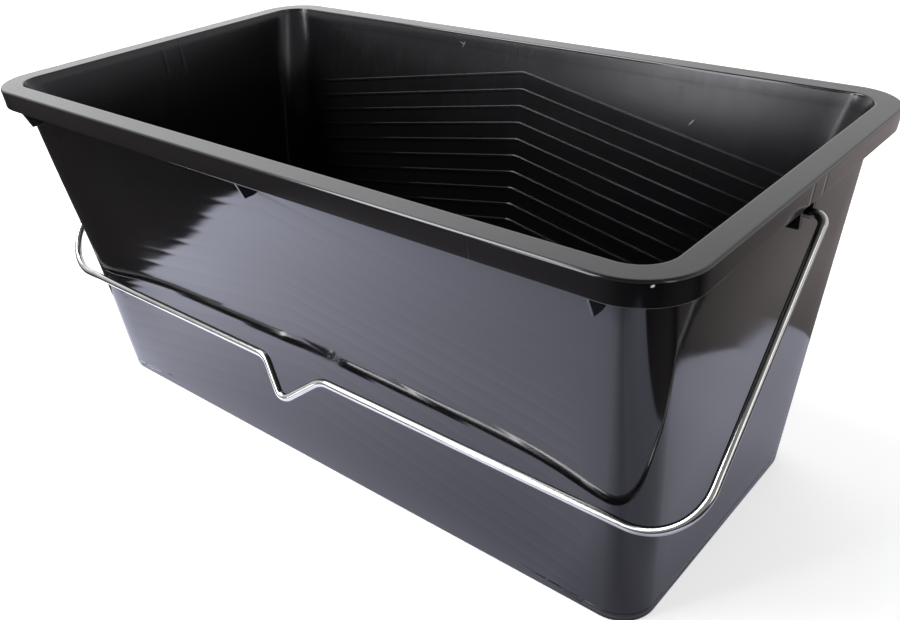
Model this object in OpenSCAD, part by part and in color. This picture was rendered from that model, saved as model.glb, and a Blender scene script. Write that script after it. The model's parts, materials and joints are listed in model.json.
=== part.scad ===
// Paint roller scuttle: a deep tapered plastic tub with a swinging wire bail.
// Millimetres.  X runs along the long side, Y to the back, Z up.
// The origin is the middle of the underside of the tub.

/* [Tub] */
// Overall length over the rim
tub_l = 420; // [380:1:520]
// Overall width over the rim
tub_w = 236; // [210:1:300]
// Height from the underside to the top of the rim
tub_h = 190; // [160:1:240]
// Length of the base
base_l = 378; // [340:1:470]
// Width of the base
base_w = 164; // [140:1:220]
// Thickness of the side walls
wall = 2.2; // [1.6:0.1:3.2]
// Thickness of the floor
floor_t = 2.6; // [1.8:0.1:4]
// Outside radius of the four base corners, seen from above
base_r = 17.5; // [12:0.5:26]
// Rounding of the bottom edge
foot_r = 2; // [1:0.25:3]

/* [Rim] */
// Width of the flat rim from the inside wall to the outside of the skirt
rim_w = 12; // [9:0.5:16]
// Outside radius of the four rim corners, seen from above
rim_r = 27; // [22:0.5:36]
// Thickness of the flat rim
rim_t = 2.4; // [1.8:0.1:3.2]
// Height of the down-turned skirt, measured from the top of the rim
skirt_h = 10.6; // [8:0.2:16]
// Thickness of the skirt
skirt_t = 2; // [1.5:0.1:3]
// How far the lower edge of the skirt stands in from its upper edge
skirt_draft = 0.8; // [0.2:0.1:1.5]
// Rounding of the outer top edge of the rim
rim_edge = 1.6; // [0.8:0.1:2.2]
// Bevel of the inner top edge of the rim
lip = 0.9; // [0.4:0.1:1.5]

/* [Wringing ribs] */
// Number of chevron ribs on each long wall
rib_n = 15; // [10:1:16]
// Height between one rib and the next
rib_pitch = 9.7; // [8:0.1:12]
// Depth of the first rib's peak below the top of the rim
rib_first = 16; // [12:0.5:24]
// Slope of each leg of a rib, in degrees
rib_slope = 9.7; // [6:0.1:14]
// Width of a rib
rib_w = 1.4; // [1:0.1:2]
// How far a rib stands off the wall
rib_h = 0.8; // [0.5:0.1:1.2]
// Flat wall left clear between a rib's end and the tub corner
rib_gap = 7; // [4:0.5:14]

/* [Rim gussets] */
// Thickness of a gusset plate
gusset_t = 1.2; // [1:0.1:3]
// Depth of a gusset's level foot below the top of the rim
gusset_drop = 20.5; // [18:0.2:32]
// How far a gusset's foot stands out from the wall
gusset_foot = 5.2; // [3:0.2:7]
// Distance of the end gussets of a long wall from the end of the rim
gusset_end = 31.5; // [31:0.5:60]

/* [Bail lugs] */
// Depth of the bail's axis below the top of the rim
pivot_drop = 16; // [14.5:0.25:20]
// Width of a lug over its two cheeks
lug_w = 16; // [14:0.5:24]
// Thickness of each cheek
cheek_t = 3.2; // [2:0.1:4]
// How far the cheeks stand out from the wall at the axis
lug_out = 7.6; // [6.4:0.1:8.6]
// Height of the lug below the axis
lug_below = 4.8; // [4.4:0.1:8]
// Thickness of the web that holds the wire
web_t = 2.4; // [1.8:0.1:3]
// Gap between the wall and the web at the axis
web_gap = 1.8; // [1.6:0.1:2.6]
// Running clearance of the wire in its hole, all round
pin_clear = 0.1; // [0.04:0.01:0.1]

/* [Bail] */
// Diameter of the wire
wire_d = 4; // [3:0.1:5]
// Distance from the bail's axis to the middle of the grip bar
bail_reach = 140; // [132:1:180]
// Gap between the bail's arms and the skirt at each end
arm_gap = 2; // [1:0.25:4]
// Bend radius of the two lower corners, to the middle of the wire
corner_bend = 27; // [16:1:40]
// Bend radius where each arm turns in to its lug
pin_bend = 4.4; // [3.4:0.1:6]
// How far the wire's end shows behind the web
pin_past = 0.8; // [0.4:0.1:1.2]
// Depth of the V in the grip bar
kink_d = 15.5; // [10:0.5:20]
// Place of the V along the grip bar, from the middle
kink_x = -3.5; // [-20:0.5:20]
// Slope of the sides of the V, in degrees
kink_slope = 41; // [30:1:60]
// Bend radius at the shoulders of the V
shoulder_bend = 13; // [5:0.5:14]
// Bend radius at the point of the V
tip_bend = 7; // [4:0.5:9]
// How far the V leans back to the tub out of the bail's plane, in degrees
kink_lean = 10; // [0:1:25]
// Gap between the resting grip bar and the front wall
rest_gap = 0.3; // [0.2:0.05:1]

/* [Hidden] */
e = 0.01;
// outside half-sizes of the walls at the top of the rim and at the base
top_x = tub_l / 2 - rim_w + wall;
top_y = tub_w / 2 - rim_w + wall;
low_x = base_l / 2;
low_y = base_w / 2;
top_r = rim_r - rim_w + wall;
// lean of the long walls out of the vertical
wall_lean = atan((top_y - low_y) / tub_h);
// the bail's axis
pivot_z = tub_h - pivot_drop;
arm_x = tub_l / 2 + arm_gap + wire_d / 2;
// the lug's cheeks and web
lug_x = half_x(pivot_z) + lug_out;
web_x = half_x(pivot_z) + web_gap + web_t;
pin_x = web_x - web_t - pin_past;
lug_low = pivot_z - lug_below;
// angle of the resting bail from straight down, its bar lying on the front wall
front_off = low_y * cos(wall_lean) + pivot_z * sin(wall_lean);
rest_angle = 90 - wall_lean - acos((front_off + wire_d / 2 + rest_gap) / bail_reach);
// straight side of the V
kink_drop = (shoulder_bend + tip_bend) * (1 - cos(kink_slope));
kink_leg = (kink_d - kink_drop) / sin(kink_slope);
kink_half = (shoulder_bend + tip_bend) * sin(kink_slope) + kink_leg * cos(kink_slope);
// lap between straight and bent wire, and how much slimmer the bends are
lap = 0.2;
neck = 0.04;

// outside half-length, half-width and corner radius of the walls at height z
function half_x(z) = low_x + (top_x - low_x) * z / tub_h;
function half_y(z) = low_y + (top_y - low_y) * z / tub_h;
function corner(z) = base_r + (top_r - base_r) * z / tub_h;

// one thin level of the tub's outline, drawn in by a given amount
module level(z, inset) {
    for (sx = [-1, 1], sy = [-1, 1])
        translate([sx * (half_x(z) - corner(z)), sy * (half_y(z) - corner(z)), z])
            cylinder(r = corner(z) - inset, h = e, $fn = 48);
}

// the tapered outside, its bottom edge rounded
module outside() {
    hull() {
        for (a = [0, 30, 60, 90])
            level(foot_r * (1 - sin(a)), foot_r * (1 - cos(a)));
        level(tub_h - e, 0);
    }
}

// the tapered hollow, open at the top
module hollow() {
    hull() {
        level(floor_t, wall + foot_r / 2);
        level(floor_t + foot_r / 2, wall);
        level(tub_h + 4, wall);
    }
    // bevelled inner edge of the rim
    hull() {
        level(tub_h - lip, wall);
        level(tub_h + 1, wall - lip - 1);
    }
}

// section through the rim: flat top, rounded outer edge and skirt; r is measured
// from the centre of a rim corner, the second number down from the rim's top
module rim_section() {
    low_r = rim_r - skirt_draft;
    arc = [for (a = [90 : -18 : 0]) [rim_r - rim_edge * (1 - cos(a)), -rim_edge * (1 - sin(a))]];
    polygon(concat(
        [[rim_r - rim_w + wall / 3, 0]],
        arc,
        [[low_r, -skirt_h + 0.5],
         [low_r - 0.5, -skirt_h],
         [low_r - skirt_t, -skirt_h],
         [rim_r - skirt_t - 0.3, -rim_t - 1],
         [rim_r - skirt_t - 1.3, -rim_t],
         [rim_r - rim_w + wall / 3, -rim_t]]));
}

module rim() {
    flat_x = tub_l / 2 - rim_r;
    flat_y = tub_w / 2 - rim_r;
    for (i = [0 : 3]) {
        along = i % 2 == 0 ? flat_y : flat_x;
        away = i % 2 == 0 ? flat_x : flat_y;
        rotate([0, 0, 90 * i]) {
            // straight side
            translate([away, along, tub_h])
                rotate([90, 0, 0])
                    linear_extrude(height = 2 * along)
                        rim_section();
            // corner at its far end
            translate([away, along, tub_h])
                rotate_extrude(angle = 90, $fn = 96)
                    rim_section();
        }
    }
}

// chevron ribs on the inside of the back wall, none of them below the floor
module ribs() {
    reach = half_x(0) - base_r - rib_gap;
    fall = reach * tan(rib_slope);
    step = rib_pitch / cos(wall_lean);
    intersection() {
        translate([-tub_l / 2, 0, floor_t / 2])
            cube([tub_l, tub_w, tub_h]);
        translate([0, top_y - wall / cos(wall_lean), tub_h])
            rotate([90 - wall_lean, 0, 0])
                for (i = [0 : rib_n - 1])
                    translate([0, -rib_first / cos(wall_lean) - i * step, -wall / 2])
                        linear_extrude(height = rib_h + wall / 2)
                            polygon([[-reach, -fall], [0, 0], [reach, -fall],
                                     [reach, -fall - rib_w], [0, -rib_w],
                                     [-reach, -fall - rib_w]]);
    }
}

// gussets under the rim along the front wall, each with a level foot; a tub that is
// stacked in this one rests its rim on such feet
module gussets() {
    z = tub_h - gusset_drop;
    for (x = [-1, 0, 1])
        translate([x * (tub_l / 2 - gusset_end), 0, 0])
            rotate([90, 0, -90])
                linear_extrude(height = gusset_t, center = true)
                    polygon([[top_y - wall / 2, tub_h - rim_t / 2],
                             [tub_w / 2 - skirt_t / 2, tub_h - rim_t / 2],
                             [tub_w / 2 - skirt_draft - skirt_t + 0.3, tub_h - skirt_h + 0.6],
                             [half_y(z) + gusset_foot, z],
                             [half_y(z) - wall / 2, z]]);
}

// one lug: two cheeks and a web between them, all hanging from the rim
module lug() {
    inner = half_x(lug_low) - wall / 2;
    lug_h = tub_h - rim_t / 2 - lug_low;
    for (s = [-1, 1])
        translate([inner, s * (lug_w - cheek_t) / 2 - cheek_t / 2, lug_low])
            cube([lug_x - inner, cheek_t, lug_h]);
    translate([web_x - web_t, -lug_w / 2 + cheek_t / 2, lug_low])
        cube([web_t, lug_w - cheek_t, lug_h]);
}

module tub() {
    color("#17181a")
    difference() {
        union() {
            difference() {
                union() {
                    outside();
                    rim();
                }
                hollow();
            }
            for (turn = [0, 180])
                rotate([0, 0, turn]) {
                    ribs();
                    gussets();
                    lug();
                }
        }
        // holes for the wire
        for (s = [-1, 1])
            translate([s * (web_x + 1), 0, pivot_z])
                rotate([0, -s * 90, 0])
                    cylinder(d = wire_d + 2 * pin_clear, h = web_t + 1.5, $fn = 48);
    }
}

// straight wire running up from the origin, lapping a hair into the bends at its ends
module rod(length) {
    translate([0, 0, -lap])
        cylinder(d = wire_d, h = length + 2 * lap, $fn = 24);
}

// bent wire that starts at the origin running up and turns towards +X; the wire
// necks by a hair where it is bent
module bend(radius, angle) {
    translate([radius, 0, 0])
        rotate([-90, 0, 0])
            mirror([1, 0, 0])
                rotate_extrude(angle = -angle, $fn = 72)
                    translate([radius, 0])
                        circle(d = wire_d - neck, $fn = 24);
}

// one side of the bail in its own plane, from its pin to the shoulder of the V, which
// stands at a distance from the middle
module bail_side(shoulder_x) {
    arm_l = bail_reach - corner_bend - pin_bend;
    // pin
    translate([pin_x, 0, 0])
        rotate([0, 90, 0])
            rod(arm_x - pin_bend - pin_x);
    // turn down into the arm
    translate([arm_x - pin_bend, 0, 0])
        rotate([0, 90, 0])
            bend(pin_bend, 90);
    // arm
    translate([arm_x, 0, -pin_bend - arm_l])
        rod(arm_l);
    // lower corner
    translate([arm_x, 0, -pin_bend - arm_l])
        rotate([180, 0, 0])
            mirror([1, 0, 0])
                bend(corner_bend, 90);
    // grip bar as far as the V
    translate([shoulder_x, 0, -bail_reach])
        rotate([0, 90, 0])
            rod(arm_x - corner_bend - shoulder_x);
}

// the V in the grip bar, its point over the origin and the bar on the X axis
module kink() {
    mid_x = kink_half - shoulder_bend * sin(kink_slope);
    mid_z = -shoulder_bend * (1 - cos(kink_slope));
    for (side = [0, 1])
        mirror([side, 0, 0]) {
            translate([kink_half, 0, 0])
                rotate([0, -90, 0])
                    mirror([1, 0, 0])
                        bend(shoulder_bend, kink_slope);
            translate([mid_x, 0, mid_z])
                rotate([0, -90 - kink_slope, 0])
                    rod(kink_leg);
        }
    // point of the V
    translate([-tip_bend * sin(kink_slope), 0, -kink_d + tip_bend * (1 - cos(kink_slope))])
        rotate([0, 90 + kink_slope, 0])
            mirror([1, 0, 0])
                bend(tip_bend, 2 * kink_slope);
}

module bail() {
    color("#c9cccf")
    translate([0, 0, pivot_z])
        rotate([-rest_angle, 0, 0]) {
            bail_side(kink_half + kink_x);
            mirror([1, 0, 0])
                bail_side(kink_half - kink_x);
            // the V leans back about the bar
            translate([kink_x, 0, -bail_reach])
                rotate([kink_lean, 0, 0])
                    kink();
        }
}

tub();
bail();
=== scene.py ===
"""Paint roller scuttle: a glossy black moulded tub and its bright wire bail, in a small studio.

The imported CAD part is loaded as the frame.  The tub and the bail are modelled here as fine
meshes that replace the CAD nodes of the same name, in the same place and at the same overall
size.  The bow of the walls, the flare above the ribs and the sink marks are in these meshes
only.  All lengths are in metres: X along the long side, Y to the back, Z up, with the origin
in the middle of the underside.
"""

import json
import logging
import math
from dataclasses import dataclass, replace
from enum import Enum
from functools import partial, reduce
from typing import Iterable, Sequence

import bmesh
import bpy
from mathutils import Matrix, Vector


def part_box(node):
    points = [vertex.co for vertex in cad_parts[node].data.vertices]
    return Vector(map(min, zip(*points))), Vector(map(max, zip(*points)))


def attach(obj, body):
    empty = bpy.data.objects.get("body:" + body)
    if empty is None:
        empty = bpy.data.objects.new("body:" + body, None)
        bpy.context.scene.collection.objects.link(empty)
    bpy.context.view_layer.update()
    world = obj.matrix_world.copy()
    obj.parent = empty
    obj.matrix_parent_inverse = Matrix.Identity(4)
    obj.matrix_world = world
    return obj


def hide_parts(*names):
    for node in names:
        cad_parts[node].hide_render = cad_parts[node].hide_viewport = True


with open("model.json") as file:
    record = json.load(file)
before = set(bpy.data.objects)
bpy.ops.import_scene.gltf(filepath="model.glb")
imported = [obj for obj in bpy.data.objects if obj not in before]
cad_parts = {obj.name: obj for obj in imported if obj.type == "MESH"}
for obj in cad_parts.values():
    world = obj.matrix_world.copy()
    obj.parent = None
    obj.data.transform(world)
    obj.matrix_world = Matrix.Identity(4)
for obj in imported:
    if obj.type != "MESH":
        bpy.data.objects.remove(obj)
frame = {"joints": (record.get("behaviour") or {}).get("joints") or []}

logging.basicConfig(level=logging.INFO, format="%(name)s: %(message)s")
log = logging.getLogger("scuttle")

Socket = bpy.types.NodeSocket
Colour = tuple[float, float, float, float]

MM = 0.001
IMAGE_WIDTH = 900
IMAGE_HEIGHT = 620
BURIED = 0.6  # share of a wall's thickness that a plate is sunk into it


# ---------------------------------------------------------------- sizes


@dataclass(frozen=True)
class TubSizes:
    """Sizes of the tub.  The overall three are read from the frame.

    Args:
        length: overall length over the rim.
        width: overall width over the rim.
        height: from the underside to the top of the rim.
        skirt_satin: how satin the outside of the skirt is, where the flat of the rim is 1.
        long_wall_bow: how far a long wall is drawn in at most.
        short_wall_bow: how far a short wall is drawn in at most.
        bow_rise: below 1, it puts the deepest place below half height.
        bow_rounding: how quickly the bow fades towards the base and the rim.
        bow_flatness: how far a long wall's bow stays even towards its ends.
        bow_end: the share of a long wall's bow that is lost at its ends.
        short_bow_rounding: how quickly a short wall's bow fades towards its ends.
        flare: slope of the inside above the first rib, off the outside.
        flare_depth: how far down that slope is full.
        flare_fade: over what depth it fades after that.
        flare_ease: over what depth it is rounded off at the first rib.
        inner_corner_growth: growth of the inside corners' radius with the flare.
        band_haze: how satin the inside is above the first rib.
        rib_haze: how satin it is among the highest ribs.
        haze_fade: the heights between which the ribs' haze grows from nothing.
    """

    length: float
    width: float
    height: float
    base_length: float = 378 * MM
    base_width: float = 164 * MM
    wall: float = 2.2 * MM
    floor: float = 2.6 * MM
    base_corner: float = 17.5 * MM
    foot_round: float = 0.8 * MM
    floor_round: float = 3.0 * MM
    rim_width: float = 12 * MM
    rim_corner: float = 27 * MM
    rim_thickness: float = 2.4 * MM
    rim_round: float = 1.2 * MM
    skirt_satin: float = 0.3
    lip_round: float = 0.9 * MM
    skirt_height: float = 10.6 * MM
    skirt_thickness: float = 2.0 * MM
    skirt_draft: float = 0.8 * MM
    skirt_round: float = 0.5 * MM
    root_round: float = 1.0 * MM
    long_wall_bow: float = 5.5 * MM
    short_wall_bow: float = 1.5 * MM
    bow_rise: float = 0.8
    bow_rounding: float = 2.4
    bow_flatness: float = 5.0
    bow_end: float = 0.62
    short_bow_rounding: float = 1.5
    flare: float = 0.080
    flare_depth: float = 16 * MM
    flare_fade: float = 30 * MM
    flare_ease: float = 3 * MM
    inner_corner_growth: float = 1.6
    band_haze: float = 1.35
    rib_haze: float = 1.3
    haze_fade: tuple[float, float] = (108 * MM, 150 * MM)

    @property
    def top_half_x(self) -> float:
        """Outside half-length of the walls at the top of the rim."""
        return self.length / 2 - self.rim_width + self.wall

    @property
    def top_half_y(self) -> float:
        """Outside half-width of the walls at the top of the rim."""
        return self.width / 2 - self.rim_width + self.wall

    @property
    def top_corner(self) -> float:
        """Outside corner radius of the walls at the top of the rim."""
        return self.rim_corner - self.rim_width + self.wall

    @property
    def long_wall_lean(self) -> float:
        """Lean of the long walls out of the vertical, in radians."""
        return math.atan((self.top_half_y - self.base_width / 2) / self.height)

    def half_x(self, z: float) -> float:
        """Outside half-length of the walls at height z."""
        low = self.base_length / 2
        return low + (self.top_half_x - low) * z / self.height

    def half_y(self, z: float) -> float:
        """Outside half-width of the walls at height z."""
        low = self.base_width / 2
        return low + (self.top_half_y - low) * z / self.height

    def corner(self, z: float) -> float:
        """Outside corner radius of the walls at height z, seen from above."""
        return self.base_corner + (self.top_corner - self.base_corner) * z / self.height


@dataclass(frozen=True)
class RibSizes:
    """Sizes of the chevron wringing ribs on the inside of each long wall.

    Args:
        first: depth of the first rib's peak below the top of the rim.
        edge: half-width of the rounding along a rib's edges.
        reach: how far a rib goes from the middle of the wall.
        sink: depth of the sink mark behind a rib, on the outside.
        apex_round: rounding of the peak.
        end_fade: length of the run-out at each end.
    """

    count: int = 15
    pitch: float = 9.7 * MM
    first: float = 16 * MM
    slope: float = math.radians(9.7)
    width: float = 1.4 * MM
    height: float = 0.8 * MM
    edge: float = 0.16 * MM
    reach: float = 164.5 * MM
    sink: float = 0.048 * MM
    apex_round: float = 1.2 * MM
    end_fade: float = 1.2 * MM

    def fall(self, x: float) -> float:
        """How far a rib lies below its peak at distance x from the middle of the wall."""
        run = min(abs(x), self.reach)
        return (math.hypot(run, self.apex_round) - self.apex_round) * math.tan(self.slope)

    def fade(self, x: float) -> float:
        """1 along a rib, falling to 0 past its end."""
        return smooth_step((self.reach + self.end_fade / 2 - abs(x)) / self.end_fade)


@dataclass(frozen=True)
class GussetSizes:
    """Sizes and places of the thin gussets under the rim of the long walls.

    Args:
        drop: from the top of the rim down to the level foot.
        foot: length of the foot, out from the wall.
        from_end: from the tub's ends to the outer gussets.
        above_skirt: from the skirt's lower edge up to where a gusset leaves it.
        into_skirt: how far a gusset is sunk into the skirt.
    """

    thickness: float = 1.2 * MM
    drop: float = 20.5 * MM
    foot: float = 5.2 * MM
    from_end: float = 31.5 * MM
    edge_round: float = 0.3 * MM
    above_skirt: float = 0.6 * MM
    into_skirt: float = 0.3 * MM


@dataclass(frozen=True)
class LugSizes:
    """Sizes of the two lugs that hold the bail.

    Args:
        cheek: thickness of a cheek.
        stand_out: how far the cheeks stand off the wall at the height of the hole.
        web_gap: from the wall to the web.
        clearance: air round the bail's pin.
    """

    width: float = 16 * MM
    cheek: float = 3.2 * MM
    stand_out: float = 7.6 * MM
    below_axis: float = 4.8 * MM
    web: float = 2.4 * MM
    web_gap: float = 1.8 * MM
    clearance: float = 0.1 * MM
    edge_round: float = 0.45 * MM


@dataclass(frozen=True)
class BailSizes:
    """Sizes of the bent wire bail.

    Args:
        reach: from the pins' axis to the grip bar.
        arm_gap: from the skirt to an arm.
        pin_past: how far a pin goes past its web.
        vee_x: place of the V along the bar.
        vee_slope: slope of its sides off the bar.
        vee_lean: lean of the V out of the bail's plane.
        rest_gap: air between the bar and an unbowed wall at rest.
        cut_bevel: bevel of the wire's cut ends.
    """

    wire: float = 4.0 * MM
    reach: float = 140 * MM
    arm_gap: float = 2.0 * MM
    corner_bend: float = 27 * MM
    pin_bend: float = 4.4 * MM
    pin_past: float = 0.8 * MM
    vee_depth: float = 15.5 * MM
    vee_x: float = -3.5 * MM
    vee_slope: float = math.radians(41)
    shoulder_bend: float = 13 * MM
    tip_bend: float = 7 * MM
    vee_lean: float = math.radians(10)
    rest_gap: float = 0.3 * MM
    cut_bevel: float = 0.35 * MM


class Body(Enum):
    """The bodies of the frame."""

    TUB = "tub"
    BAIL = "bail"


class Slot(Enum):
    """The record's material slots."""

    PLASTIC = "black_polypropylene"
    WIRE = "bright_wire"


# ---------------------------------------------------------------- small helpers


def smooth_step(t: float) -> float:
    """0 below 0, 1 above 1 and an even S between."""
    t = min(1.0, max(0.0, t))
    return t * t * (3 - 2 * t)


def spread(low: float, high: float, count: int) -> list[float]:
    """count values at even steps from low to high, both included."""
    return [low + (high - low) * i / (count - 1) for i in range(count)]


def skin(form: bmesh.types.BMesh, rings: Sequence[Sequence[bmesh.types.BMVert]]) -> None:
    """Joins closed rings of as many points each by strips of faces.

    Args:
        form: the mesh that the rings are in.
        rings: the rings, in order.
    """
    for lower, upper in zip(rings, rings[1:]):
        for i in range(len(lower)):
            j = (i + 1) % len(lower)
            form.faces.new((lower[i], lower[j], upper[j], upper[i]))


def new_object(name: str, form: bmesh.types.BMesh) -> bpy.types.Object:
    """Turns a form into a smooth-shaded object in the scene, and frees it.

    Args:
        name: the object's name.
        form: its mesh, in the frame's own coordinates.

    Returns:
        The new object.
    """
    mesh = bpy.data.meshes.new(name)
    form.to_mesh(mesh)
    form.free()
    item = bpy.data.objects.new(name, mesh)
    bpy.context.scene.collection.objects.link(item)
    for face in mesh.polygons:
        face.use_smooth = True
    return item


def finish_piece(item: bpy.types.Object, body: Body, slot: Slot,
                 material: bpy.types.Material) -> None:
    """Gives a piece its material, its body and the CAD node that it stands for.

    Args:
        item: the piece.
        body: the body that it rides on, which is also the node's name.
        slot: its slot in the record; not used.
        material: its material.
    """
    item.data.materials.clear()
    item.data.materials.append(material)
    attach(item, body.value)
    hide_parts(body.value)
    log.info("%s: %d faces, rides on %s", item.name, len(item.data.polygons), body.value)


# ---------------------------------------------------------------- node trees


@dataclass(frozen=True)
class Ramp:
    """An amount that changes over a stretch of some value and is level outside of it.

    Args:
        low: the value at which the stretch starts.
        high: the value at which it ends.
        start: the amount at its start.
        end: the amount at its end.
        smooth: an S in place of a straight line.
    """

    low: float
    high: float
    start: float = 0.0
    end: float = 1.0
    smooth: bool = False


@dataclass(frozen=True)
class Pattern:
    """A noise pattern.

    Args:
        scale: how fine it is.
        detail: how many finer layers lie over it.
        roughness: how strong those are.
        stretch: its scale along each axis, where that is uneven.
        ramp: turns its value, from 0 to 1, into an amount.
    """

    scale: float
    detail: float = 2.0
    roughness: float = 0.5
    stretch: tuple[float, float, float] | None = None
    ramp: Ramp | None = None


class Nodes:
    """A short way to write a node tree."""

    def __init__(self, tree: bpy.types.NodeTree) -> None:
        """Empties the tree."""
        self.tree = tree
        tree.nodes.clear()

    def add(self, kind: str, **settings: object) -> bpy.types.Node:
        """Adds a node.

        Args:
            kind: its type.
            settings: its properties by name.

        Returns:
            The node.
        """
        node = self.tree.nodes.new(kind)
        for name, value in settings.items():
            setattr(node, name, value)
        return node

    def put(self, value: object, socket: Socket) -> None:
        """Fills an input.

        Args:
            value: a socket to link to it, or a plain value.
            socket: the input.
        """
        if isinstance(value, Socket):
            self.tree.links.new(value, socket)
        else:
            socket.default_value = value

    def feed(self, node: bpy.types.Node, **inputs: object) -> bpy.types.Node:
        """Fills a node's inputs by name.

        Args:
            node: the node.
            inputs: sockets or plain values; an underscore in a name stands for a space.

        Returns:
            The same node.
        """
        for name, value in inputs.items():
            self.put(value, node.inputs[name.replace("_", " ")])
        return node

    def math(self, operation: str, *values: object) -> Socket:
        """Adds a Math node.

        Args:
            operation: what it does.
            values: one to three numbers or sockets.

        Returns:
            Its result.
        """
        node = self.add("ShaderNodeMath", operation=operation)
        for socket, value in zip(node.inputs, values):
            self.put(value, socket)
        return node.outputs[0]

    def plus(self, *values: object) -> Socket:
        """The sum of all values."""
        return reduce(partial(self.math, "ADD"), values)

    def minus(self, first: object, second: object) -> Socket:
        """The first value less the second."""
        return self.math("SUBTRACT", first, second)

    def times(self, *values: object) -> Socket:
        """The product of all values."""
        return reduce(partial(self.math, "MULTIPLY"), values)

    def ramp(self, value: Socket, ramp: Ramp) -> Socket:
        """Adds a ramp.

        Args:
            value: the value that it runs over.
            ramp: its ends and amounts.

        Returns:
            The amount.
        """
        kind = "SMOOTHSTEP" if ramp.smooth else "LINEAR"
        node = self.add("ShaderNodeMapRange", interpolation_type=kind)
        self.feed(node, Value=value, From_Min=ramp.low, From_Max=ramp.high)
        return self.feed(node, To_Min=ramp.start, To_Max=ramp.end).outputs[0]

    def pattern(self, place: Socket, pattern: Pattern) -> Socket:
        """Adds a noise pattern.

        Args:
            place: where in it each point lies.
            pattern: its scale and form.

        Returns:
            The noise, or the amount that its ramp makes of it.
        """
        if pattern.stretch is not None:
            mapping = self.feed(self.add("ShaderNodeMapping"), Vector=place, Scale=pattern.stretch)
            place = mapping.outputs[0]
        node = self.add("ShaderNodeTexNoise")
        self.feed(node, Vector=place, Scale=pattern.scale, Detail=pattern.detail)
        noise = self.feed(node, Roughness=pattern.roughness).outputs[0]
        return noise if pattern.ramp is None else self.ramp(noise, pattern.ramp)

    def mix_colour(self, factor: object, first: object, second: object) -> Socket:
        """Mixes two colours.

        Args:
            factor: 0 for the first alone, 1 for the second alone.
            first: a colour or a socket.
            second: a colour or a socket.

        Returns:
            The mixed colour.
        """
        node = self.add("ShaderNodeMix", data_type="RGBA")
        for index, value in ((0, factor), (6, first), (7, second)):
            self.put(value, node.inputs[index])
        return node.outputs[2]

    def seen(self, path: bpy.types.Node) -> Socket:
        """1 for what the camera sees, straight or through glass, by a Light Path node."""
        sockets = [path.outputs[name] for name in ("Is Camera Ray", "Is Transmission Ray")]
        return self.math("MAXIMUM", *sockets)

    def split(self, vector: Socket) -> Sequence[Socket]:
        """X, Y and Z of a vector."""
        return self.feed(self.add("ShaderNodeSeparateXYZ"), Vector=vector).outputs


def new_material(name: str) -> tuple[bpy.types.Material, Nodes]:
    """Makes a material.

    Args:
        name: its name.

    Returns:
        The material, and a writer for its empty node tree.
    """
    material = bpy.data.materials.new(name)
    material.use_nodes = True
    return material, Nodes(material.node_tree)


# ---------------------------------------------------------------- finishes


@dataclass(frozen=True)
class Mark:
    """A small pale scuff or fleck on the plastic.

    Args:
        place: its middle.
        half: its half-sizes along its own axes.
        turn: its turn about Y.
        strength: how pale it is, from 0 to 1.
    """

    place: tuple[float, float, float]
    half: tuple[float, float, float]
    turn: float
    strength: float


@dataclass(frozen=True)
class PlasticFinish:
    """Finish of the moulded polypropylene.

    Args:
        cloud: where the deep colour turns to the bloom.
        grain_size: from a grain of dust's middle out to its edge.
        grain_where: where there are grains.
        mark_edge: where a mark starts to fade, as a share of its half-size.
        smear: roughness added by handling.
        rubbed: roughness added by fine rubbed lines.
        streaks: roughness added by upright streaks where the surface is hazy.
        streaks_where: from how satin a place is to how much of the streaks it has.
        wave: slow waves of the moulding.
        fine: the fine grain of the surface.
        fine_on_satin: strength of that grain on the flat of the rim.
        fine_on_gloss: its strength everywhere.
    """

    deep: Colour = (0.0030, 0.0029, 0.0034, 1)
    bloom: Colour = (0.0037, 0.0036, 0.0040, 1)
    scuff: Colour = (0.62, 0.62, 0.60, 1)
    gleam: Colour = (0.93, 0.94, 1.0, 1)
    dust: Colour = (0.16, 0.155, 0.15, 1)
    cloud: Pattern = Pattern(22, 4, 0.6, ramp=Ramp(0.35, 0.7))
    grain_scale: float = 180.0
    grain_size: Ramp = Ramp(0.035, 0.06, 1, 0)
    grain_where: Pattern = Pattern(61, 1, ramp=Ramp(0.66, 0.70, 0, 0.5))
    mark_edge: float = 0.6
    ior: float = 1.52
    gloss_roughness: float = 0.075
    satin_roughness: float = 0.19
    smear: Pattern = Pattern(16, 3, 0.55, ramp=Ramp(0.4, 0.75, 0, 0.035))
    rubbed: Pattern = Pattern(1.0, 3, 0.7, (90, 90, 900), Ramp(0.62, 0.72, 0, 0.018))
    streaks: Pattern = Pattern(1.0, 3, 0.6, (260, 260, 18), Ramp(0.4, 0.75, 0, 0.04))
    streaks_where: Ramp = Ramp(0.3, 1.5)
    wave: Pattern = Pattern(24, 1, 0.4)
    wave_height: float = 0.05 * MM
    fine: Pattern = Pattern(1100, 3, 0.7)
    fine_height: float = 0.004 * MM
    fine_on_satin: float = 1.6
    fine_on_gloss: float = 0.08


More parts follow.
